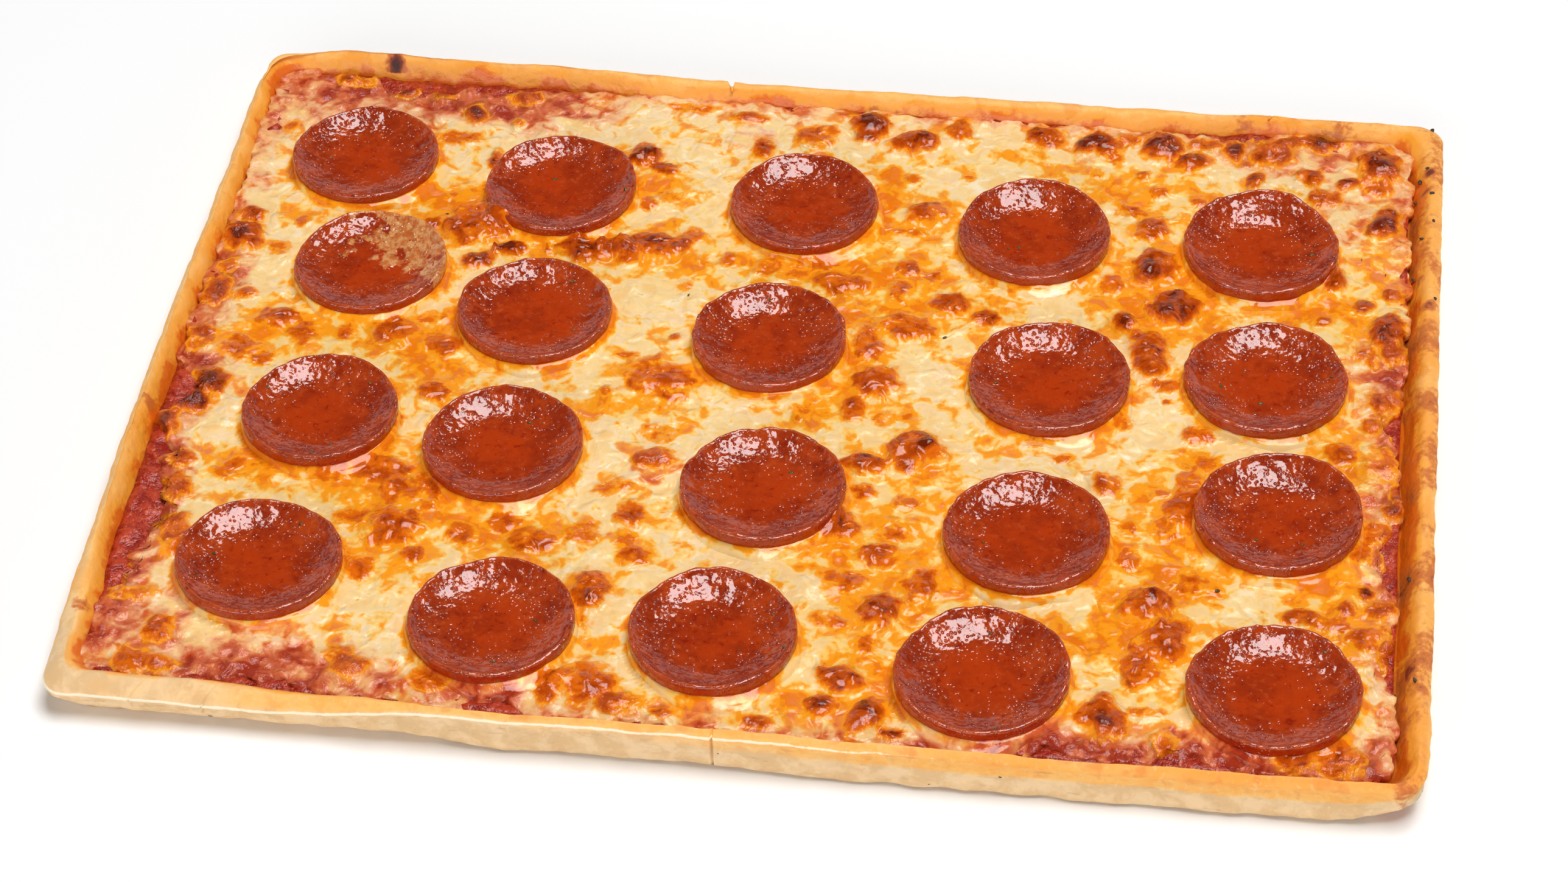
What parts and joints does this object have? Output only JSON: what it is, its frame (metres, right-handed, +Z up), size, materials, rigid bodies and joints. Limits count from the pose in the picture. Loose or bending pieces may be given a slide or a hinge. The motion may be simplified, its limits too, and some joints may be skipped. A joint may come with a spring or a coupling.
{
  "type": "hot honey pepperoni pizza",
  "caption": "Rectangular thin-crust pizza with melted cheese and cupped, honey-glazed pepperoni slices.",
  "frame": {"origin": "centre of the pizza's outline, on the flat underside of the crust", "axes": "+X along the long side to the right, +Y to the back, +Z up out of the toppings; the pale front side of the crust faces -Y"},
  "size_m": [0.3602, 0.2754, 0.0174],
  "materials": {
    "crust": "dry baked dough, golden on the rim and pale on the sides",
    "sauce": "wet cooked tomato sauce",
    "cheese": "melted cheese with oil stains and browned blisters",
    "pepperoni": "wet cured sausage under a honey glaze"
  },
  "bodies": {
    "root": {"crust": "crust", "sauce": "sauce", "cheese": "cheese", "pepperoni_01": "pepperoni", "pepperoni_02": "pepperoni", "pepperoni_03": "pepperoni", "pepperoni_04": "pepperoni", "pepperoni_05": "pepperoni", "pepperoni_06": "pepperoni", "pepperoni_07": "pepperoni", "pepperoni_08": "pepperoni", "pepperoni_09": "pepperoni", "pepperoni_10": "pepperoni", "pepperoni_11": "pepperoni", "pepperoni_12": "pepperoni", "pepperoni_13": "pepperoni", "pepperoni_14": "pepperoni", "pepperoni_15": "pepperoni", "pepperoni_16": "pepperoni", "pepperoni_17": "pepperoni", "pepperoni_18": "pepperoni", "pepperoni_19": "pepperoni", "pepperoni_20": "pepperoni"}
  },
  "joints": []
}
